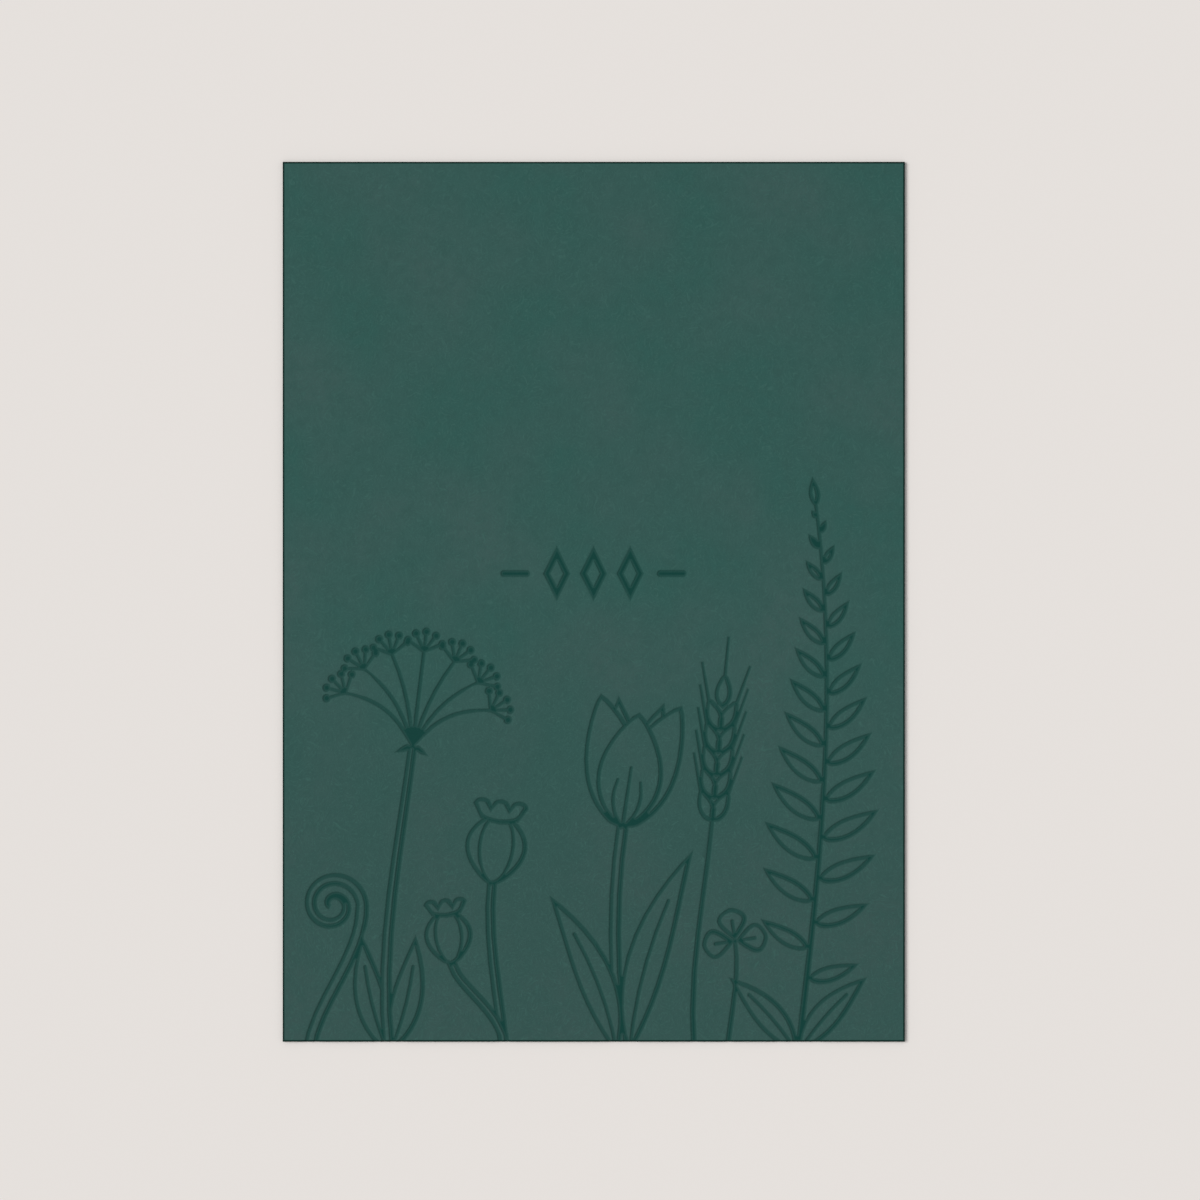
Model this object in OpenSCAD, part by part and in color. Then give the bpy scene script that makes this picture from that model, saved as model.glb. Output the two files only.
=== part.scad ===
// A picture postcard: one square-cornered sheet of thick dyed card, with a botanical line
// drawing and a small ornament pressed into its face. It lies face up: X runs across it,
// Y up the picture and Z out of the face. The origin is the middle of the underside.

/* [Card] */
// Width of the card
card_w = 105; // [98:0.5:130]
// Height of the card
card_h = 148.5; // [140:0.5:190]
// Thickness of the board
card_t = 0.6; // [0.45:0.05:1.2]

/* [Pressed lines] */
// Depth of the lines pressed into the face
press_depth = 0.14; // [0.06:0.01:0.2]
// Width of a drawn outline
line_w = 0.75; // [0.55:0.05:0.9]
// Width of a fine line, such as a vein or a ray
fine_w = 0.6; // [0.45:0.05:0.75]
// Width of a two-line stem, over its outlines
stem_w = 2.1; // [1.8:0.1:3]
// How far a line spreads to each side as it is pressed
line_spread = 0.02; // [0.01:0.01:0.05]

/* [Fern] */
// Distance of the frond's foot from the right edge
fern_inset = 18; // [15:0.5:26]
// Height of the frond's tip above the bottom edge
fern_h = 91; // [70:1:100]
// Sideways reach of the frond from its foot to its tip
fern_reach = 3; // [-6:0.5:8]
// Length of the longest leaflet
leaflet_l = 13; // [9:0.5:14]
// Pairs of leaflets
leaflet_pairs = 13; // [8:1:16]
// Length of the two leaves at the frond's foot
fern_leaf_l = 17; // [12:1:22]

/* [Umbel] */
// Distance of the umbel's foot from the left edge
umbel_inset = 18; // [15:0.5:24]
// Height of the point where the rays part
umbel_h = 50; // [35:1:60]
// Sideways reach of the stalk from its foot to that point
umbel_reach = 4; // [-2:0.5:6]
// Length of a ray
ray_l = 16; // [11:0.5:17]
// Rays in the umbel
ray_count = 7; // [5:1:9]
// Length of the small rays that end in a floret
floret_l = 3.3; // [2.4:0.1:4]
// Diameter of a floret
floret_d = 1.4; // [1:0.1:1.8]
// Length of the two leaves at the stalk's foot
umbel_leaf_l = 20; // [14:1:26]

/* [Tulip] */
// Distance of the tulip's foot to the right of the card's centre line
tulip_shift = 5; // [0:0.5:10]
// Height of the flower's base above the bottom edge
tulip_stem_h = 37; // [26:1:44]
// Width of the open flower
tulip_w = 20; // [15:0.5:24]
// Height of the flower
tulip_h = 23; // [17:0.5:26]
// Length of its longer leaf
tulip_leaf_l = 35; // [24:1:40]
// Length of its shorter leaf
tulip_short_leaf_l = 28; // [20:1:34]

/* [Poppy heads] */
// Distance of the two stems' foot to the left of the card's centre line
poppy_shift = 15; // [12:0.5:20]
// Height of the taller stem
poppy_stem_h = 27; // [20:1:36]
// Height of the shorter stem
poppy_short_stem_h = 13.5; // [9:0.5:18]
// Sideways reach of the shorter stem
poppy_short_reach = 9; // [7:0.5:11]
// Width of the larger seed head
poppy_w = 10.5; // [8:0.5:13]
// Height of the larger seed head, without its crown
poppy_h = 11.5; // [9:0.5:14]

/* [Wheat] */
// Distance of the wheat stalk's foot to the right of the card's centre line
wheat_shift = 17; // [14:0.5:22]
// Height of the lowest grain
wheat_stem_h = 37; // [28:1:46]
// Sideways reach of the stalk
wheat_reach = 3; // [0:0.5:5]
// Pairs of grains
grain_pairs = 5; // [4:1:7]
// Length of a grain
grain_l = 6.2; // [5:0.1:7]
// Length of an awn beyond its grain
awn_l = 6; // [3:0.5:9]

/* [Clover] */
// Distance of the clover's foot from the fern's, toward the middle
clover_gap = 12; // [9:0.5:14]
// Height of the point where its three leaves meet
clover_h = 17; // [12:1:26]
// Length of each of the three leaves
clover_leaf_l = 5.6; // [4:0.2:7]

/* [Curled frond] */
// Distance of the curl's centre from the left edge
curl_inset = 8.5; // [7:0.5:11]
// Height of the curl's centre
curl_h = 23; // [16:1:30]
// Radius of the curl
curl_r = 5; // [4:0.25:6.5]

/* [Ornament] */
// Height of the ornament's centre above the bottom edge
ornament_h = 79; // [76:0.5:120]
// Width of the ornament's lines
ornament_line_w = 1.1; // [0.8:0.05:1.3]
// Width of a lozenge
lozenge_w = 4.6; // [3.6:0.1:6]
// Height of a lozenge
lozenge_h = 9.2; // [6:0.1:11]
// Distance from one lozenge to the next
lozenge_pitch = 6.2; // [6:0.1:8]
// Length of the dash at each end
dash_l = 5; // [3:0.1:8]
// Clear space between a dash and the lozenge beside it
dash_gap = 2.2; // [1:0.1:4]

/* [Back] */
// Depth of the guide lines pressed into the back
guide_depth = 0.05; // [0.03:0.01:0.08]
// Width of a guide line
guide_w = 0.4; // [0.3:0.05:0.6]
// Clear margin round the guide lines
guide_margin = 9; // [6:0.5:14]
// Distance of the dividing line from mid height, toward the foot of the picture
divider_shift = 4; // [3:0.5:12]
// Address lines
address_lines = 4; // [3:1:5]
// Clear space between the dividing line and the address lines
address_gap = 8; // [5:0.5:12]
// Distance from one address line to the next
address_pitch = 9; // [7:0.5:11]
// Width of the stamp frame
stamp_w = 22; // [18:0.5:28]
// Height of the stamp frame
stamp_h = 26; // [20:0.5:32]

/* [Hidden] */
// Whether shapes are drawn filled, to hide what lies behind them
$filled = false;
// How far stems run past the bottom edge, where the cut takes them off
run_off = 2;
// How far a cut starts outside the surface that it opens
clearance = 1;
// Shift of a shape's inside, which makes its lower right line the heavier one
pen_slant = line_w * [-0.12, 0.1];

// Point at t on the cubic curve with four control points
function curve_point(points, t) =
    pow(1 - t, 3) * points[0]
    + 3 * t * pow(1 - t, 2) * points[1]
    + 3 * t * t * (1 - t) * points[2]
    + pow(t, 3) * points[3];

// The same curve as a path of a number of steps
function curve(points, steps) = [for (i = [0:steps]) curve_point(points, i / steps)];

// Control points of a stem from below the bottom edge up to [reach, height], with a bow to
// one side that is a share of its height
function stem(height, reach, bow) = [[0, -run_off], [bow * height, height / 3],
    [reach + bow * height, 2 * height / 3], [reach, height]];

// Control points of a leaf's spine, which bends to one side near its tip
function spine(length, bend) = [[0, 0], [0, length / 3], [bend / 3, 2 * length / 3], [bend, length]];

// Unit direction of a path at one of its points, and the unit vector to the right of it
function direction(path, i) =
    let (step = path[min(i + 1, len(path) - 1)] - path[max(i - 1, 0)]) step / norm(step);
function across(path, i) = let (d = direction(path, i)) [d.y, -d.x];

// Half widths of a strip that narrows evenly from one width to another
function taper(from, to, steps) = [for (i = [0:steps]) (from + (to - from) * i / steps) / 2];

// Shares of a length, even at an ease of 0 and closer together towards both ends at 1
function eased(steps, ease) =
    [for (i = [0:steps]) (1 - ease) * i / steps + ease * (1 - cos(180 * i / steps)) / 2];

// Share of its full width that a leaf has at t, when it is widest at belly
function swell(t, belly, blunt) = pow(sin(180 * pow(t, ln(0.5) / ln(belly))), blunt);

// Strip along a path, with a half width for each point
module ribbon(path, half) {
    last = len(path) - 1;
    right = [for (i = [0:last]) path[i] + half[i] * across(path, i)];
    left = [for (i = [last:-1:0]) path[i] - half[i] * across(path, i)];
    polygon(concat(right, left));
}

// Solid line that narrows along a path and has a round tip
module stroke(path, from, to) {
    last = len(path) - 1;
    ribbon(path, taper(from, to, last));
    translate(path[last]) circle(d = to, $fn = 10);
}

// Leaf or petal from the origin to [bend, length], with rounder ends the smaller blunt is
module blade(length, width, bend = 0, belly = 0.45, blunt = 1, steps = 8) {
    shares = eased(steps, 2 * (1 - blunt));
    path = [for (t = shares) curve_point(spine(length, bend), t)];
    ribbon(path, [for (t = shares) width / 2 * swell(t, belly, blunt)]);
}

// Moves its children to t on a curve, with their Y along it
module on_curve(points, t) {
    ahead = curve_point(points, t + 0.01) - curve_point(points, t - 0.01);
    translate(curve_point(points, t)) rotate(-atan2(ahead.x, ahead.y)) children();
}

// Rim of a shape, as wide as a drawn line, or the whole shape when it is to hide others
module inked() {
    difference() {
        children();
        if (!$filled) translate(pen_slant) offset(delta = -line_w) children();
    }
}

// Draws its children from back to front, each hiding what it covers of the ones before
module stacked() {
    last = $children - 1;
    for (i = [0:last])
        difference() {
            children(i);
            hide() for (j = [i + 1:1:last]) children(j);
        }
}

module hide() {
    $filled = true;
    children();
}

// Leaf with a midrib over three quarters of its length
module long_leaf(length, width, bend) {
    inked() blade(length, width, bend, blunt = 0.9, steps = 11);
    stroke([for (t = [0:0.15:0.75]) curve_point(spine(length, bend), t)], fine_w, fine_w);
}

// Pair of leaves that part at a stem's foot
module foot_leaves(length, width, angle, bend) {
    for (side = [-1, 1])
        translate([0, -run_off]) rotate(-angle * side) long_leaf(length, width, bend * side);
}

// Frond with a single rib and pairs of narrow leaflets that shorten to the tip
module fern() {
    rib = stem(fern_h, fern_reach, 0.044);
    stacked() {
        for (i = [0:leaflet_pairs - 1], side = [-1, 1]) {
            u = (i + (side > 0 ? 0 : 0.5)) / leaflet_pairs;
            length = leaflet_l * pow(1 - u, 0.65) * min(1, 0.7 + 1.4 * u);
            on_curve(rib, 0.13 + 0.87 * pow(u, 0.85)) rotate(side * (36 * u - 74))
                leaflet(length, side);
        }
        on_curve(rib, 0.99) inked() blade(0.4 * leaflet_l, 0.15 * leaflet_l);
        stroke(curve(rib, 14), 1.5 * line_w, fine_w);
        foot_leaves(fern_leaf_l, 0.3 * fern_leaf_l, 32, 0.18 * fern_leaf_l);
    }
}

module leaflet(length, side) {
    width = 0.05 * leaflet_l + 0.25 * length;
    inked() blade(length, width, -side * length / 8, belly = 0.42, blunt = 0.85);
}

// Tall stalk that parts into rays, each ending in a small spray of florets
module umbel() {
    stalk = stem(umbel_h, umbel_reach, -0.04);
    stacked() {
        foot_leaves(umbel_leaf_l, 0.28 * umbel_leaf_l, 24, -0.2 * umbel_leaf_l);
        inked() ribbon(curve(stalk, 8), taper(stem_w, 0.75 * stem_w, 8));
        on_curve(stalk, 1) umbel_head();
    }
}

module umbel_head() {
    spread = 118;
    for (i = [0:ray_count - 1]) {
        angle = spread * (i / (ray_count - 1) - 0.5);
        length = ray_l * (1 - 0.1 * pow(2 * angle / spread, 2));
        rise = length * [sin(0.62 * angle), cos(0.62 * angle)];
        tip = length * [sin(angle), cos(angle)];
        stroke(curve([[0, 0], 0.3 * rise, 0.6 * rise, tip], 6), line_w, fine_w);
        translate(tip) rotate(-0.85 * angle) floret_spray();
    }
    bract_l = ray_l / 5;
    for (side = [-1, 1]) rotate(118 * side) blade(bract_l, bract_l / 3, belly = 0.35, steps = 4);
}

module floret_spray() {
    for (k = [-2:2]) rotate(31 * k) {
        stroke([[0, 0], [0, floret_l]], fine_w, fine_w);
        translate([0, floret_l]) circle(d = floret_d, $fn = 9);
    }
}

// Cup of overlapping petals on a two-line stem, with two long leaves in front
module tulip() {
    stalk = stem(tulip_stem_h, 0, -0.05);
    stacked() {
        inked() ribbon(curve(stalk, 6), taper(stem_w, stem_w, 6));
        on_curve(stalk, 1) translate([0, -stem_w / 2]) tulip_flower();
        translate([stem_w / 2, -run_off]) rotate(-5)
            long_leaf(tulip_leaf_l, tulip_leaf_l / 5, 0.22 * tulip_leaf_l);
        translate([-stem_w / 2, -run_off]) rotate(9)
            long_leaf(tulip_short_leaf_l, 0.23 * tulip_short_leaf_l, -0.25 * tulip_short_leaf_l);
    }
}

module tulip_flower() {
    stacked() {
        rotate(10) inked() blade(0.97 * tulip_h, 0.36 * tulip_w, belly = 0.5);
        rotate(-10) inked() blade(0.97 * tulip_h, 0.36 * tulip_w, belly = 0.5);
        rotate(15) outer_petal(-1);
        rotate(-15) outer_petal(1);
        inked() blade(0.86 * tulip_h, 0.56 * tulip_w, belly = 0.44, blunt = 0.75, steps = 13);
        for (side = [-1, 0, 1]) petal_vein(side);
    }
}

module outer_petal(side) {
    inked() blade(tulip_h, tulip_w / 2, side * tulip_w / 20, belly = 0.42, blunt = 0.75, steps = 13);
}

module petal_vein(side) {
    bulge = 0.13 * side * tulip_w;
    stroke(curve([[0, 0], [bulge, 0.12 * tulip_h], [bulge, 0.25 * tulip_h],
        [0.75 * bulge, (0.45 - 0.1 * abs(side)) * tulip_h]], 4), line_w, 0.85 * fine_w);
}

// Two seed heads on bowed stems that share a foot
module poppies() {
    tall = stem(poppy_stem_h, -stem_w, -0.04);
    short = stem(poppy_short_stem_h, -poppy_short_reach, 0.07);
    stacked() {
        poppy_stem(tall);
        on_curve(tall, 1) poppy_head(1);
        poppy_stem(short);
        on_curve(short, 1) rotate(-6) poppy_head(0.78);
    }
}

module poppy_stem(points) {
    inked() ribbon(curve(points, 6), taper(0.9 * stem_w, 0.8 * stem_w, 6));
}

module poppy_head(size) {
    width = size * poppy_w;
    height = size * poppy_h;
    translate([0, -stem_w / 3]) stacked() {
        inked() blade(1.08 * height, width, belly = 0.54, blunt = 0.6, steps = 14);
        for (side = [-1, 1])
            stroke(curve([[0, 0], [side * width / 3, height / 4], [side * width / 3, 0.8 * height],
                [side * width / 8, height]], 6), fine_w, fine_w);
        translate([0, 0.97 * height]) inked() poppy_crown(0.9 * width);
    }
}

// Flared cap with a scalloped upper edge
module poppy_crown(width) {
    lobes = 3;
    steps = 6 * lobes;
    scallops = [for (i = [0:steps]) let (u = i / steps)
        width * [0.5 - u, 0.26 + 0.11 * sqrt(abs(sin(180 * lobes * u)))]];
    base = curve(width * [[-0.34, 0], [-0.1, -0.1], [0.1, -0.1], [0.34, 0]], 4);
    polygon(concat(scallops, base));
}

// Ear of plump grains in pairs, each with a long awn
module wheat() {
    stalk = stem(wheat_stem_h, wheat_reach, -0.03);
    stroke(curve(stalk, 6), 1.3 * line_w, line_w);
    on_curve(stalk, 1) wheat_ear();
}

module wheat_ear() {
    pitch = 0.62 * grain_l;
    stacked() {
        for (i = [0:grain_pairs - 1], side = [-1, 1])
            translate([0, pitch * i]) rotate(-24 * side) grain(9 * side);
        translate([0, pitch * grain_pairs]) grain(0);
    }
}

module grain(awn_turn) {
    inked() blade(grain_l, 0.48 * grain_l, belly = 0.42, blunt = 0.8, steps = 6);
    translate([0, grain_l]) rotate(awn_turn)
        ribbon([[0, -line_w], [0, awn_l]], taper(fine_w, 0.7 * fine_w, 1));
}

// Clover leaf on a slender stalk
module clover() {
    stalk = stem(clover_h, clover_leaf_l / 4, 0.05);
    stacked() {
        stroke(curve(stalk, 6), 1.2 * line_w, line_w);
        for (angle = [-90, 90, 0]) on_curve(stalk, 1) rotate(angle) {
            inked() blade(clover_leaf_l, 0.9 * clover_leaf_l, belly = 0.64, blunt = 0.65, steps = 12);
            stroke([[0, 0], [0, 0.6 * clover_leaf_l]], fine_w, fine_w);
        }
    }
}

// Young frond that is still curled at its tip
module curled_frond() {
    foot = curve([[-0.8 * curl_r, -run_off], [-0.6 * curl_r, 0.3 * curl_h],
        [curl_r, 0.6 * curl_h], [curl_r, curl_h]], 8);
    curl = [for (angle = [15:15:570]) [0, curl_h]
        + curl_r * pow(1 - angle / 620, 0.9) * [cos(angle), sin(angle)]];
    path = concat(foot, curl);
    last = len(path) - 1;
    inked() ribbon(path, [for (i = [0:last]) stem_w * (0.55 - 0.37 * pow(i / last, 2))]);
}

// Row of lozenges between two dashes
module ornament() {
    for (k = [-1:1])
        translate([k * lozenge_pitch, 0]) difference() {
            lozenge(lozenge_w, lozenge_h);
            offset(delta = -ornament_line_w) lozenge(lozenge_w, lozenge_h);
        }
    for (side = [-1, 1])
        translate([side * (lozenge_pitch + lozenge_w / 2 + dash_gap + dash_l / 2), 0])
            dash(dash_l, ornament_line_w);
}

module lozenge(width, height) {
    polygon([[width / 2, 0], [0, height / 2], [-width / 2, 0], [0, -height / 2]]);
}

module dash(length, width) {
    for (side = [-1, 1]) translate([side * (length - width) / 2, 0]) circle(d = width, $fn = 12);
    square([length - width, width], center = true);
}

// Everything that is pressed into the face
module face_drawing() {
    translate([0, -card_h / 2]) {
        stacked() {
            translate([card_w / 2 - fern_inset, 0]) fern();
            translate([-card_w / 2 + umbel_inset, 0]) umbel();
            translate([wheat_shift, 0]) wheat();
            translate([card_w / 2 - fern_inset - clover_gap, 0]) clover();
            translate([-poppy_shift, 0]) poppies();
            translate([-card_w / 2 + curl_inset, 0]) curled_frond();
            translate([tulip_shift, 0]) tulip();
        }
        translate([0, ornament_h]) ornament();
    }
}

// Everything that is pressed into the back, which is written on with the card on its side:
// a dividing line, address lines and a frame for the stamp
module back_drawing() {
    half_w = card_w / 2 - guide_margin;
    half_h = card_h / 2 - guide_margin;
    address_y = address_gap - divider_shift;
    translate([-half_w, -divider_shift - guide_w / 2]) square([2 * half_w, guide_w]);
    for (i = [1:address_lines])
        translate([half_w - stamp_h - address_pitch * i, address_y])
            square([guide_w, half_h - address_y]);
    translate([half_w - stamp_h, half_h - stamp_w]) difference() {
        square([stamp_h, stamp_w]);
        translate([guide_w, guide_w]) square([stamp_h - 2 * guide_w, stamp_w - 2 * guide_w]);
    }
}

module card() {
    color("#375753") difference() {
        translate([-card_w / 2, -card_h / 2, 0]) cube([card_w, card_h, card_t]);
        translate([0, 0, card_t - press_depth]) linear_extrude(press_depth + clearance)
            offset(delta = line_spread) face_drawing();
        translate([0, 0, -clearance]) linear_extrude(guide_depth + clearance) back_drawing();
    }
}

card();
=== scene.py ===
import math

import bmesh
import bpy
import numpy as np
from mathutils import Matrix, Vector
from mathutils.bvhtree import BVHTree
from mathutils.geometry import delaunay_2d_cdt


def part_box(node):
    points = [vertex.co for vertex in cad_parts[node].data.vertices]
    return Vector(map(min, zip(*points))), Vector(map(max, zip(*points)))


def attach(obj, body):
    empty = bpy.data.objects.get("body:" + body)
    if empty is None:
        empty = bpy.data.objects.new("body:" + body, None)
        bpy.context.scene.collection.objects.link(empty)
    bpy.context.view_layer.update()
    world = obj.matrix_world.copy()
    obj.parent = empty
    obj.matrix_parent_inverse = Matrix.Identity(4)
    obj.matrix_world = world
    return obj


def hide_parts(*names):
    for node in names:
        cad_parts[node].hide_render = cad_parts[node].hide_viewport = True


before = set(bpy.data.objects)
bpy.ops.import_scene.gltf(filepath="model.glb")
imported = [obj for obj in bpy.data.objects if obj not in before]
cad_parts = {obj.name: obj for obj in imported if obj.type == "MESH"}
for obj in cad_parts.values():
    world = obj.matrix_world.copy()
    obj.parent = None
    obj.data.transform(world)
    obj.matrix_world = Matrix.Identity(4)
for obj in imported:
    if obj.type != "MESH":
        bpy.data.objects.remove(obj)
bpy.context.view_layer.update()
mm = 0.001  # outlines are worked on in millimetres, meshes are made in metres
placeDigits = 3  # of a millimetre, to which places read from the card are rounded


def linearColour(code):
    # sRGB hex to the linear colour that the shader wants
    parts = [int(code[i:i + 2], 16) / 255 for i in (1, 3, 5)]
    return [c / 12.92 if c <= 0.04045 else ((c + 0.055) / 1.055) ** 2.4 for c in parts] + [1.0]


def addNode(tree, kind, inputs=None, **settings):
    node = tree.nodes.new("ShaderNode" + kind)
    for key, value in settings.items():
        setattr(node, key, value)
    for key, value in (inputs or {}).items():
        if isinstance(value, bpy.types.NodeSocket):
            tree.links.new(value, node.inputs[key])
        else:
            node.inputs[key].default_value = value
    return node


def smoothStep(t):
    t = np.clip(t, 0, 1)
    return t * t * (3 - 2 * t)


def crossed(a, b):
    # positive where the second direction turns left from the first
    return a[0] * b[1] - a[1] * b[0]


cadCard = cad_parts["card"]
cardLow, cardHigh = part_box("card")
halfWidth = round(cardHigh.x / mm, placeDigits)
halfHeight = round(cardHigh.y / mm, placeDigits)
thickness = cardHigh.z / mm
# the card is level at its underside, on the floor of the back's lines, on that of the face's, and on its face
levels = np.unique(np.round([vertex.co.z / mm for vertex in cadCard.data.vertices], placeDigits))
backFloor, faceFloor = levels[1], levels[-2]
print("card loaded,", 2 * halfWidth, "x", 2 * halfHeight, "mm, lines at", backFloor, "and", faceFloor, "mm")


# Lengths are in mm. A wall is the side of a pressed line, and distances from it are negative in the line.
cardLook = {
    "keptCorner": 50,      # degrees of turn from which a wall's corner stays sharp
    "turnPerStep": 7,      # degrees that a curve may turn at one point
    "longStep": 2.5,       # a step this many times as long as its neighbour is a straight one
    "runOff": 1.0,         # how far a wall goes on past the card's edge
    "fanStep": 24,         # degrees between a ring's points round a sharp corner
    "longestMitre": 5,     # most that a ring's corner moves, in widths of the ring
    "face": {
        "wallTop": 0.10,   # where the rounded wall starts down
        "wallFoot": -0.18,
        "dip": 0.15,       # share of the depth that the board dips before the wall
        "dipReach": 0.50,
        "fineTone": 0.64,  # a fine line is less closed up than a broad one and gets less of the dark tone, which is partly painted shade
        "broadTone": 1.0,
        "rimTone": 1.0,    # how dark the band round the rim is
        "rings": (0.62, 0.50, 0.35, 0.21, 0.10, 0.05, 0.0, -0.06, -0.12, -0.18, -0.30, -0.44),
    },
    "back": {
        "wallTop": 0.07,
        "wallFoot": -0.12,
        "dip": 0.0,
        "dipReach": 1.0,
        "fineTone": 0.5,
        "broadTone": 0.5,
        "rimTone": 0.8,
        "rings": (0.12, 0.07, 0.03, -0.02, -0.07, -0.12),
    },
    "broadFrom": 0.30,     # from the wall, where a broad line's tone starts
    "broadFull": 0.48,
    "edgeRound": 0.07,     # radius of the cut edges
    "edgeRings": (0.0, 0.012, 0.035, 0.07, 0.22, 0.35),  # the rim's tone fades between the last two
    "edgePitch": 2.5,      # between the points along an edge
    "sideRows": 4,
    "sideTone": 0.6,       # of 1, which is the dark band round the rim
    "fieldPitch": 3.5,     # between the points of the plain field
    "fieldFromEdge": 1.0,
    "fieldFromRing": 0.3,
    "ringError": 0.012,    # a ring's points that miss its distance by more than this are left out
    "ringErrorShare": 0.06,  # what it may miss besides, for each mm of that distance
    "refinings": 1,
    "refineFrom": 0.018,   # from the edge, so that the rim's points stay as face and back share them
    "reliefError": 0.004,  # that a straight step may miss the relief by
    "levelError": 0.004,   # a point this near to a floor's height lies on that floor
    "edgeError": 0.003,    # and one this near to the card's edge lies on the edge
    "snapReach": 0.006,    # new points this near to the edge go onto it
    "weld": 0.002,         # points of one sheet closer than this are one
    "bodyWeld": 0.0004,    # and so are points of the whole card
    "sameSpot": 0.0001,
    "sharpFrom": 65,       # degrees between two faces from which their edge is sharp
}


def bordersOf(tris):
    # closed borders of a set of triangles, as lists of point numbers with the triangles on the left
    halves = {(tri[k], tri[(k + 1) % 3]) for tri in tris.tolist() if len(set(tri)) == 3 for k in range(3)}
    onward = {}
    for start, end in sorted(halves):
        if (end, start) not in halves:
            onward.setdefault(start, []).append(end)
    borders = []
    while onward:
        first = at = next(iter(onward))
        border = []
        while not border or at != first:
            border.append(at)
            ends = onward[at]
            if len(ends) == 1:
                del onward[at]
            at = ends.pop(0)
        borders.append(border)
    return borders


def outlinesAt(obj, level, look):
    # closed outlines of a mesh's level areas at one height, each with its area on the left
    mesh = obj.data
    mesh.calc_loop_triangles()
    places = np.empty(len(mesh.vertices) * 3, np.float32)
    mesh.vertices.foreach_get("co", places)
    places = places.reshape(-1, 3).astype(float) / mm
    tris = np.empty(len(mesh.loop_triangles) * 3, np.int32)
    mesh.loop_triangles.foreach_get("vertices", tris)
    tris = tris.reshape(-1, 3)
    tris = tris[np.abs(places[tris][:, :, 2] - level).max(1) < look["levelError"]]
    points, merged = np.unique(np.round(places[:, :2], placeDigits), axis=0, return_inverse=True)
    tris = merged.reshape(-1)[tris]
    first, second, third = (points[tris[:, k]].T for k in range(3))
    if crossed(second - first, third - first).sum() < 0:  # an area on the underside faces down
        tris = tris[:, ::-1]
    return [points[border] for border in bordersOf(tris)]


def wallLines(loops, look):
    # (line, closed) for every wall; one that meets the card's edge ends there
    lines = []
    for loop in loops:
        onEdge = np.abs(np.abs(loop) - (halfWidth, halfHeight)) < look["edgeError"]
        along = (onEdge & np.roll(onEdge, -1, 0)).any(1)  # the step after the point follows the card's edge
        if not along.any():
            lines.append((loop, True))
            continue
        first = np.flatnonzero(along)[0] + 1
        loop, along = np.roll(loop, -first, 0), np.roll(along, -first)
        lines += [(part, False) for part in np.split(loop, np.flatnonzero(along) + 1) if len(part) > 1]
    return lines


def stepsOf(line, closed):
    # at each point: direction of the step out, direction of the step in, length of the step out, turn
    step = np.roll(line, -1, 0) - line
    if not closed:
        step[-1] = step[-2]
    length = np.hypot(*step.T)
    wayOut = step / length[:, None]
    wayIn = np.roll(wayOut, 1, 0)
    if not closed:
        wayIn[0] = wayOut[0]
    turn = np.arctan2(crossed(wayIn.T, wayOut.T), (wayIn * wayOut).sum(1))
    return wayOut, wayIn, length, turn


def smoothLine(line, closed, look):
    # a smooth curve through the points, with its corners kept; it runs straight on past the card's edge
    wayOut, wayIn, length, turn = stepsOf(line, closed)
    corner = np.abs(turn) > math.radians(look["keptCorner"])
    bend = np.where(corner, 0, np.abs(turn))
    lengthIn = np.roll(length, 1)
    share = length / (length + lengthIn)
    share[lengthIn > look["longStep"] * length] = 1
    share[length > look["longStep"] * lengthIn] = 0
    tangent = wayIn * share[:, None] + wayOut * (1 - share[:, None])
    tangent /= np.hypot(*tangent.T)[:, None]
    made = []
    for i in range(len(line) if closed else len(line) - 1):
        j = (i + 1) % len(line)
        steps = max(1, math.ceil((bend[i] + bend[j]) / 2 / math.radians(look["turnPerStep"])))
        leave = length[i] * (wayOut[i] if corner[i] else tangent[i])
        arrive = length[i] * (wayOut[i] if corner[j] else tangent[j])
        for t in np.arange(steps) / steps:
            made.append(
                (2 * t**3 - 3 * t**2 + 1) * line[i] + (t**3 - 2 * t**2 + t) * leave
                + (3 * t**2 - 2 * t**3) * line[j] + (t**3 - t**2) * arrive)
    if not closed:
        before = line[0] - wayOut[0] * look["runOff"]
        after = line[-1] + wayOut[-1] * look["runOff"]
        made = [before, *made, line[-1], after]
    return np.array(made)


def stopAtCrossings(lines):
    # past the card's edge two walls stop where they cross, which closes what lies between them
    lines = [(line.copy(), closed) for line, closed in lines]
    opened = [line for line, closed in lines if not closed]
    runOffs = [(line, tip, root) for line in opened for tip, root in ((0, 1), (-1, -2))]
    for n, (one, tip, root) in enumerate(runOffs):
        for other, otherTip, otherRoot in runOffs[n + 1:]:
            run = one[tip] - one[root]
            otherRun = other[otherTip] - other[otherRoot]
            apart = other[otherRoot] - one[root]
            turn = crossed(run, otherRun)
            if turn == 0:
                continue
            share, otherShare = crossed(apart, otherRun) / turn, crossed(apart, run) / turn
            if 0 < share < 1 and 0 < otherShare < 1:
                one[tip] = other[otherTip] = one[root] + run * share
    return lines


def outwards(ways):
    # directions a quarter turn to the right of others, which point out of the pressed area
    return ways[:, ::-1] * (1, -1)


def turned(way, angle):
    return np.array([way[0] * math.cos(angle) - way[1] * math.sin(angle),
                     way[0] * math.sin(angle) + way[1] * math.cos(angle)])


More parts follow.
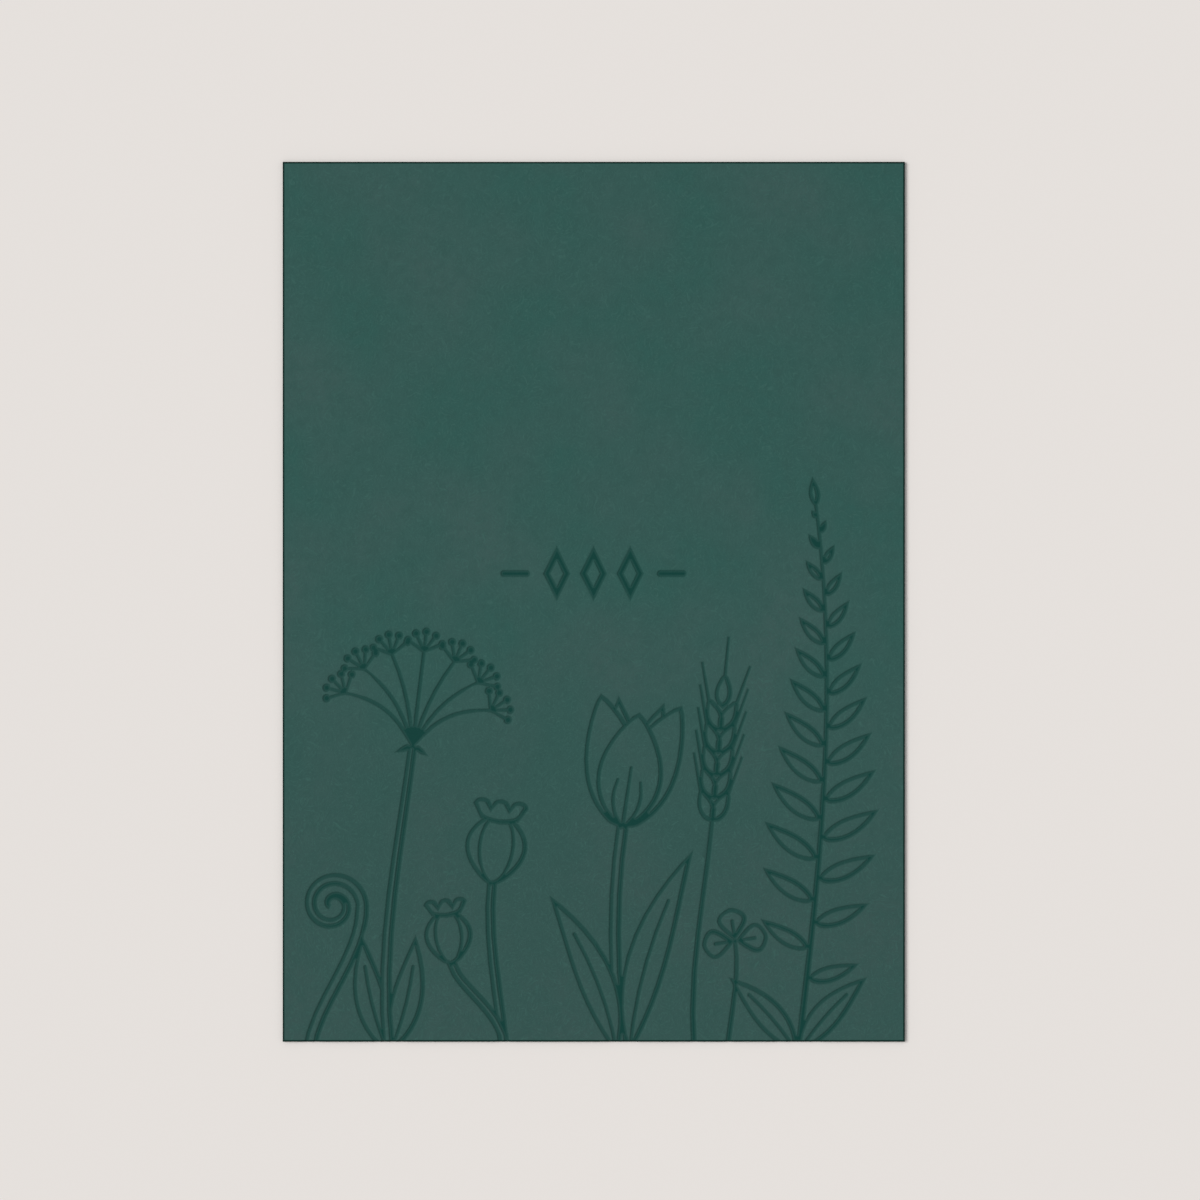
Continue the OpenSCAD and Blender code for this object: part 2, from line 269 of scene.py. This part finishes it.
def offsetLine(line, closed, distance, look):
    # the line moved out by a distance, or in where it is negative, with a fan round each sharp corner
    _, wayIn, _, turn = stepsOf(line, closed)
    fanStep = math.radians(look["fanStep"])
    points = []
    for point, side, angle in zip(line, outwards(wayIn), turn):
        if angle * distance > 0 and abs(angle) > fanStep:
            steps = math.ceil(abs(angle) / fanStep)
            points += [point + distance * turned(side, angle * k / steps) for k in range(steps + 1)]
        else:
            mitre = turned(side, angle / 2)
            points.append(point + distance * mitre / max(1 / look["longestMitre"], math.cos(angle / 2)))
    return np.array(points)


class Walls:
    # tells how far points are from the nearest wall: positive outside the pressed lines, negative inside
    def __init__(self, lines, look):
        parts = []
        for line, closed in lines:
            wayOut, wayIn, _, _ = stepsOf(line, closed)
            corner = outwards(wayOut) + outwards(wayIn)
            part = np.stack([line, np.roll(line, -1, 0), outwards(wayOut), corner, np.roll(corner, -1, 0)])
            parts.append(part if closed else part[:, :-1])
        self.starts, self.ends, self.sides, self.startSides, self.endSides = np.concatenate(parts, 1)
        self.sameSpot = look["sameSpot"]
        # the walls stand upright in the tree, so the nearest place to a point between is the nearest in plan
        count = len(self.starts)
        upright = [(x, y, z) for z in (-1, 1) for ends in (self.starts, self.ends) for x, y in ends.tolist()]
        faces = [(i, i + count, i + 3 * count, i + 2 * count) for i in range(count)]
        self.tree = BVHTree.FromPolygons(upright, faces)

    def distance(self, points):
        found = [self.tree.find_nearest((x, y, 0)) for x, y in points.tolist()]
        near = np.array([(place.x, place.y) for place, _, _, _ in found])
        wall = np.array([index for _, _, index, _ in found])
        away = np.array([distance for _, _, _, distance in found])
        atStart = np.abs(near - self.starts[wall]).max(1) < self.sameSpot
        atEnd = np.abs(near - self.ends[wall]).max(1) < self.sameSpot
        side = self.sides[wall]
        side[atEnd] = self.endSides[wall[atEnd]]
        side[atStart] = self.startSides[wall[atStart]]
        return np.where(((points - near) * side).sum(1) < 0, -away, away)


def edgeDistance(points):
    return np.minimum(halfWidth - np.abs(points[:, 0]), halfHeight - np.abs(points[:, 1]))


def edgeDrop(points, look):
    # how much lower the rounded edge is than the sheet
    radius = look["edgeRound"]
    short = np.clip(radius - edgeDistance(points), 0, radius)
    return radius - np.sqrt(radius**2 - short**2)


def snapToEdges(points, look):
    for axis, half in enumerate((halfWidth, halfHeight)):
        near = np.abs(np.abs(points[:, axis]) - half) < look["snapReach"]
        points[near, axis] = np.sign(points[near, axis]) * half
    return points


def rectangle(inset, pitch):
    # points round the card, counter-clockwise, at one distance from its edges
    right, top = halfWidth - inset, halfHeight - inset
    corners = np.array([(-right, -top), (right, -top), (right, top), (-right, top)])
    counts = [round(2 * right / pitch), round(2 * top / pitch)] * 2
    return np.concatenate([
        start + (end - start) * (np.arange(count) / count)[:, None]
        for start, end, count in zip(corners, np.roll(corners, -1, 0), counts)])


def cutLines(walls, lines, rings, perimeter, look):
    # every line that the sheet's triangles follow, with which of its points count, and whether it is closed
    for inset in look["edgeRings"]:
        line = rectangle(inset, look["edgePitch"]) if inset else perimeter
        yield line, np.full(len(line), True), True
    for reach in rings:
        for wall, closed in lines:
            line = offsetLine(wall, closed, reach, look) if reach else wall
            missed = np.abs(walls.distance(line) - reach)  # much, where another wall is nearer
            yield line, missed < look["ringError"] + look["ringErrorShare"] * abs(reach), closed


def fieldPoints(walls, clear, look):
    # rows of points over the plain sheet, every other row half a pitch along
    across, up = (round(2 * half / look["fieldPitch"]) for half in (halfWidth, halfHeight))
    points = np.array([
        ((2 * i + j % 2) / across * halfWidth - halfWidth, (2 * j + 1) / up * halfHeight - halfHeight)
        for j in range(up) for i in range(across + 1)])
    return points[(edgeDistance(points) > look["fieldFromEdge"]) & (walls.distance(points) > clear)]


def triangulate(points, edges, look):
    made = delaunay_2d_cdt([Vector(point) for point in points.tolist()], edges, [], 0, look["weld"], False)
    flat = snapToEdges(np.array([tuple(point) for point in made[0]]), look)
    tris = np.array([tuple(tri) for tri in made[2]])
    return flat, tris[edgeDistance(flat[tris].mean(1)) > look["sameSpot"]]


def missedPoints(flat, tris, depthAt, look):
    # middles of the steps that miss the relief by too much
    steps = np.unique(np.sort(np.concatenate([tris[:, :2], tris[:, 1:], tris[:, ::2]]), 1), axis=0)
    middles = flat[steps].mean(1)
    missed = np.abs(depthAt(middles) - depthAt(flat)[steps].mean(1)) > look["reliefError"]
    return middles[missed & (edgeDistance(middles) > look["refineFrom"])]


def pairsAlong(kept, closed, first):
    # neighbours along a line, by number, where its kept points are counted on from the first
    numbers = first + np.cumsum(kept) - 1
    joined = kept & np.roll(kept, -1)
    joined[-1] &= closed
    return np.column_stack([numbers, np.roll(numbers, -1)])[joined].tolist()


class Sheet:
    # one side of the card in plan: its points, its triangles and how deep each point lies
    def __init__(self, lines, walls, pressDepth, side, perimeter, look):
        self.walls, self.pressDepth, self.side, self.look = walls, pressDepth, side, look
        points, edges, count = [], [], 0
        for line, kept, closed in cutLines(walls, lines, side["rings"], perimeter, look):
            edges += pairsAlong(kept, closed, count)
            points.append(line[kept])
            count += kept.sum()
        points.append(fieldPoints(walls, max(side["rings"]) + look["fieldFromRing"], look))
        points = np.concatenate(points)
        flat, tris = triangulate(points, edges, look)
        for _ in range(look["refinings"]):
            points = np.concatenate([points, missedPoints(flat, tris, self.depthAt, look)])
            flat, tris = triangulate(points, edges, look)
        used = np.unique(tris)
        place = np.full(len(flat), -1)
        place[used] = np.arange(len(used))
        self.flat, self.tris = flat[used], place[tris]
        self.depth = self.depthAt(self.flat)
        self.rim = np.array(bordersOf(self.tris)[0])

    def pressedAt(self, points):
        # 0 on the plain sheet to 1 on the floor of a pressed line
        side, distance = self.side, self.walls.distance(points)
        wall = smoothStep((side["wallTop"] - distance) / (side["wallTop"] - side["wallFoot"]))
        dip = side["dip"] * np.clip(1 - distance / side["dipReach"], 0, 1) ** 2
        return dip + (1 - side["dip"]) * wall

    def depthAt(self, points):
        return self.pressDepth * self.pressedAt(points) + edgeDrop(points, self.look)

    def pressedTone(self):
        # the die closes the board most in the middle of a broad line, and there the line is darkest, partly
        # by painted shade in its recess
        start, full = self.look["broadFrom"], self.look["broadFull"]
        broad = smoothStep((-self.walls.distance(self.flat) - start) / (full - start))
        fineTone, broadTone = self.side["fineTone"], self.side["broadTone"]
        return self.pressedAt(self.flat) * (fineTone + (broadTone - fineTone) * broad)

    def rimTone(self):
        inner, outer = self.look["edgeRings"][-2:]
        return self.side["rimTone"] * (1 - smoothStep((edgeDistance(self.flat) - inner) / (outer - inner)))


def makeCard(look):
    lines = [(smoothLine(line, closed, look), closed)
             for line, closed in wallLines(outlinesAt(cadCard, faceFloor, look), look)]
    walls = Walls(stopAtCrossings(lines), look)
    face = Sheet(lines, walls, thickness - faceFloor, look["face"], rectangle(0, look["edgePitch"]), look)
    print("face relief:", len(face.tris), "triangles round", len(lines), "walls")
    lines = wallLines(outlinesAt(cadCard, backFloor, look), look)
    back = Sheet(lines, Walls(lines, look), backFloor, look["back"], face.flat[face.rim], look)
    print("back relief:", len(back.tris), "triangles round", len(lines), "walls")

    top = np.column_stack([face.flat, thickness - face.depth])
    bottom = np.column_stack([back.flat, back.depth])
    # the back's rim has the same points in plan, so rows of faces join the two down the cut sides
    apart = top[face.rim, None, :2] - bottom[None, back.rim, :2]
    backRim = back.rim[np.hypot(apart[..., 0], apart[..., 1]).argmin(1)]
    downs = np.arange(1, look["sideRows"]) / look["sideRows"]
    sides = np.concatenate([top[face.rim] * (1 - down) + bottom[backRim] * down for down in downs])
    points = np.concatenate([top, bottom, sides])
    between = np.arange(len(points) - len(sides), len(points)).reshape(len(downs), -1)
    rows = [face.rim, *between, backRim + len(top)]
    faces = face.tris.tolist() + (back.tris[:, ::-1] + len(top)).tolist()
    for above, below in zip(rows, rows[1:]):
        faces += np.column_stack([above, below, np.roll(below, -1), np.roll(above, -1)]).tolist()

    mesh = bpy.data.meshes.new("pressedCard")
    mesh.from_pydata((points * mm).tolist(), [], faces)
    # the pressed tone darkens the lines' colour, partly as painted shade in their recesses
    pressed = np.concatenate([face.pressedTone(), back.pressedTone(), np.zeros(len(sides))])
    cut = np.concatenate([face.rimTone(), back.rimTone(), np.full(len(sides), look["sideTone"])])
    for name, values in (("pressed", pressed), ("cutEdge", cut)):
        mesh.attributes.new(name, "FLOAT", "POINT").data.foreach_set("value", values.astype(np.float32))
    body = bmesh.new()
    body.from_mesh(mesh)
    bmesh.ops.remove_doubles(body, verts=body.verts, dist=look["bodyWeld"] * mm)
    body.to_mesh(mesh)
    body.free()
    mesh.polygons.foreach_set("use_smooth", [True] * len(mesh.polygons))
    mesh.set_sharp_from_angle(angle=math.radians(look["sharpFrom"]))
    card = bpy.data.objects.new("pressedCard", mesh)
    bpy.context.scene.collection.objects.link(card)
    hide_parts("card")
    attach(card, "root")
    print("card mesh:", len(mesh.vertices), "points,", len(mesh.polygons), "faces")
    return card


card = makeCard(cardLook)


boardLook = {
    "field": "#305852",        # deep bottle green, dyed right through
    # tones laid over it: pattern, where it starts and where it is full, most of it that shows, colour
    "tones": (
        ("cloud", 0.40, 0.66, 1.0, "#3a5854"),    # where the dye took greyer
        ("foot", 0.0, 1.0, 0.55, "#37504d"),      # a little duller towards the card's foot: partly a greyer hue, partly painted fall-off of the light
        ("pulp", 0.38, 0.72, 0.5, "#30524d"),
        ("fibre", 0.60, 0.78, 0.6, "#3d645d"),    # fibres that took less dye
        ("pressed", 0.0, 1.0, 1.0, "#033b35"),    # the same dye, closed up under the die; its darkness is partly painted shade in the pressed lines
        ("cut", 0.0, cardLook["sideTone"], 1.0, "#1d443d"),  # the open fibre of the cut sides
        ("plies", 0.35, 0.65, 0.6, "#08241f"),    # and the layers in them
        ("cut", cardLook["sideTone"], 1.0, 1.0, "#08241f"),  # darkest on a band round the rim of face and back
    ),
    # each noise's size in mm, and how many finer layers it has
    "noises": {
        "cloud": (22, 3),      # slow change of tone over the sheet
        "pulp": (1.6, 3),      # clumps of fibre
        "tooth": (0.5, 2),     # the felt's print in the surface
        "ply": (0.07, 2),      # layers of fibre in the thickness
    },
    "plyStretch": 28,          # times as long as they are thick
    "footFull": 0.7,           # of the way from the middle to the foot
    "toothHeight": 0.05,       # mm
    "fibreLength": 2.4,        # mm
    "fibreWidth": 0.24,        # mm; real fibres are 0.03 mm wide, and these are wider so that they show
    "fibreHeight": 0.035,      # mm
    "fibreTurns": (12, 58, 103, 149),  # degrees, as fibres lie every way
    "fibreDetail": 1,          # finer layers in the fibres and in their bends
    "driftSize": 5.0,          # mm, over which a fibre bends
    "drift": 9.0,              # mm of push at most
    "ior": 1.5,                # as cellulose has
    "specularLevel": 0.1,      # loose fibres scatter nearly all of the gloss
    "roughness": 0.86,
    "pressedRoughness": 0.6,
    "pressedTooth": 0.3,       # share of the tooth that the die leaves
}

mixShare, mixUnder, mixOver, mixResult = 0, 6, 7, 2  # the Mix node's sockets for colours


def feltBoard(look):
    # Through-dyed cotton board with a felt finish: matt, faintly clouded and fibrous, smoother and darker
    # where it was pressed (the darkness partly painted shade), with dark layers in its cut sides.
    material = bpy.data.materials.new("Through-dyed felt board")
    material.use_nodes = True
    tree = material.node_tree
    tree.nodes.clear()
    place = addNode(tree, "TexCoord").outputs["Object"]
    upwards = addNode(tree, "SeparateXYZ", {"Vector": place}).outputs["Y"]
    patterns = {
        "pressed": addNode(tree, "Attribute", attribute_name="pressed").outputs["Fac"],
        "cut": addNode(tree, "Attribute", attribute_name="cutEdge").outputs["Fac"],
        # grows towards the card's foot: partly a greyer hue, partly painted fall-off of the light
        "foot": addNode(tree, "Math", {0: upwards, 1: -1 / (look["footFull"] * halfHeight * mm)},
                        operation="MULTIPLY").outputs["Value"],
    }
    flatPlies = addNode(tree, "Mapping", {
        "Vector": place, "Scale": (1 / look["plyStretch"], 1 / look["plyStretch"], 1)}).outputs["Vector"]
    for name, (size, detail) in look["noises"].items():
        patterns[name] = addNode(tree, "TexNoise", {
            "Vector": flatPlies if name == "ply" else place, "Scale": 1 / (size * mm), "Detail": detail,
        }).outputs["Fac"]
    onSides = addNode(tree, "MapRange", {
        "Value": patterns["cut"], "From Max": cardLook["sideTone"]}).outputs["Result"]
    patterns["plies"] = addNode(tree, "Math", {0: patterns["ply"], 1: onSides},
                                operation="MULTIPLY").outputs["Value"]

    # fibres bend, so the place is pushed about before they are laid; each set has its own turn and depth
    push = addNode(tree, "TexNoise", {
        "Vector": place, "Scale": 1 / (look["driftSize"] * mm), "Detail": look["fibreDetail"],
    }).outputs["Color"]
    bent = addNode(tree, "VectorMath", {0: push, 1: [look["drift"] * mm] * 3, 2: place},
                   operation="MULTIPLY_ADD").outputs["Vector"]
    patterns["fibre"] = 0.0
    for turn in look["fibreTurns"]:
        laid = addNode(tree, "Mapping", {
            "Vector": bent, "Rotation": (0, 0, math.radians(turn)), "Location": (0, 0, turn * mm),
            "Scale": [size * mm for size in (look["fibreLength"], look["fibreWidth"], look["fibreWidth"])],
        }, vector_type="TEXTURE").outputs["Vector"]
        fibres = addNode(tree, "TexNoise", {
            "Vector": laid, "Scale": 1, "Detail": look["fibreDetail"]}).outputs["Fac"]
        patterns["fibre"] = addNode(tree, "Math", {0: patterns["fibre"], 1: fibres},
                                    operation="MAXIMUM").outputs["Value"]

    colour = linearColour(look["field"])
    for name, start, full, most, tone in look["tones"]:
        share = addNode(tree, "MapRange", {
            "Value": patterns[name], "From Min": start, "From Max": full, "To Max": most}).outputs["Result"]
        colour = addNode(tree, "Mix", {mixShare: share, mixUnder: colour, mixOver: linearColour(tone)},
                         data_type="RGBA").outputs[mixResult]

    # the bump's height is in metres, as its distance is 1
    height = addNode(tree, "Math", {0: patterns["tooth"], 1: look["toothHeight"] * mm},
                     operation="MULTIPLY").outputs["Value"]
    height = addNode(tree, "Math", {0: patterns["fibre"], 1: look["fibreHeight"] * mm, 2: height},
                     operation="MULTIPLY_ADD").outputs["Value"]
    toothLeft = addNode(tree, "MapRange", {
        "Value": patterns["pressed"], "To Min": 1, "To Max": look["pressedTooth"]}).outputs["Result"]
    height = addNode(tree, "Math", {0: height, 1: toothLeft}, operation="MULTIPLY").outputs["Value"]
    roughness = addNode(tree, "MapRange", {
        "Value": patterns["pressed"], "To Min": look["roughness"], "To Max": look["pressedRoughness"],
    }).outputs["Result"]
    shader = addNode(tree, "BsdfPrincipled", {
        "Base Color": colour, "Roughness": roughness,
        "IOR": look["ior"], "Specular IOR Level": look["specularLevel"],
        "Normal": addNode(tree, "Bump", {"Strength": 1, "Distance": 1, "Height": height}).outputs["Normal"]})
    addNode(tree, "OutputMaterial", {"Surface": shader.outputs["BSDF"]})
    return material


card.data.materials.append(feltBoard(boardLook))
print("board finish made")


studio = {
    "floor": "#eae5e1",
    "floorReach": 30.0,        # m, so that low views don't see its end
    "floorGap": 0.00001,       # m under the card, so that their surfaces don't meet
    "backdrop": "#e6e1dd",     # what is seen past the floor, as pale as the lit floor
    "light": "#ffffff",
    "roomLight": 0.46,         # its strength, the same from all round
    "keyTurn": (0, -42, -15),  # degrees; it comes from the left, so lines are shaded there
    "keySoftness": 34.0,       # degrees across, as a 1.7 m softbox 2.8 m away
    "keyStrength": 2.1,
}


def makeFloor(look):
    reach = look["floorReach"]
    corners = [(-reach, -reach, 0), (reach, -reach, 0), (reach, reach, 0), (-reach, reach, 0)]
    mesh = bpy.data.meshes.new("floor")
    mesh.from_pydata(corners, [], [(0, 1, 2, 3)])
    floor = bpy.data.objects.new("floor", mesh)
    floor.location.z = cardLow.z - look["floorGap"]
    bpy.context.scene.collection.objects.link(floor)
    # Matt wall paint on a table top: pale, with no gloss at any angle.
    paint = bpy.data.materials.new("Matt painted table")
    paint.use_nodes = True
    shader = paint.node_tree.nodes["Principled BSDF"]
    shader.inputs["Base Color"].default_value = linearColour(look["floor"])
    shader.inputs["Roughness"].default_value = 1.0
    shader.inputs["Specular IOR Level"].default_value = 0.0
    mesh.materials.append(paint)


def makeLight(look):
    # even light from all round, while the camera and reflections see the pale backdrop
    world = bpy.data.worlds.new("softRoom")
    bpy.context.scene.world = world
    world.use_nodes = True
    tree = world.node_tree
    tree.nodes.clear()
    rays = addNode(tree, "LightPath").outputs
    seen = rays["Is Camera Ray"]
    for ray in ("Is Glossy Ray", "Is Transmission Ray"):
        seen = addNode(tree, "Math", {0: seen, 1: rays[ray]}, operation="MAXIMUM").outputs["Value"]
    light = addNode(tree, "Background", {
        "Color": linearColour(look["light"]), "Strength": look["roomLight"]})
    backdrop = addNode(tree, "Background", {"Color": linearColour(look["backdrop"]), "Strength": 1.0})
    both = addNode(tree, "MixShader", {
        0: seen, 1: light.outputs["Background"], 2: backdrop.outputs["Background"]})
    addNode(tree, "OutputWorld", {"Surface": both.outputs["Shader"]})

    lamp = bpy.data.lights.new("key", "SUN")
    lamp.angle = math.radians(look["keySoftness"])
    lamp.energy = look["keyStrength"]
    key = bpy.data.objects.new("key", lamp)
    key.rotation_euler = [math.radians(turn) for turn in look["keyTurn"]]
    bpy.context.scene.collection.objects.link(key)


makeFloor(studio)
makeLight(studio)
print("floor and light made")


view = {
    "lens": 100.0,         # mm, long, so that the card stays square
    "sensor": 36.0,        # mm
    "frameWidth": 0.2025,  # m across the picture at the card's face
    "aside": 0.00105,      # m, so that the card's middle is a little left of the picture's
    "above": 0.0003,       # m, and a little below it
    "nearest": 0.05,       # m
    "farthest": 100.0,     # m
}


def makeCamera(look):
    # it looks straight down on the card
    camera = bpy.data.cameras.new("camera")
    camera.lens, camera.sensor_width = look["lens"], look["sensor"]
    camera.clip_start, camera.clip_end = look["nearest"], look["farthest"]
    holder = bpy.data.objects.new("camera", camera)
    height = look["frameWidth"] * look["lens"] / look["sensor"]
    holder.location = (look["aside"], look["above"], cardHigh.z + height)
    bpy.context.scene.collection.objects.link(holder)
    bpy.context.scene.camera = holder


makeCamera(view)
bpy.context.scene.view_settings.view_transform = "Standard"
print("camera made")
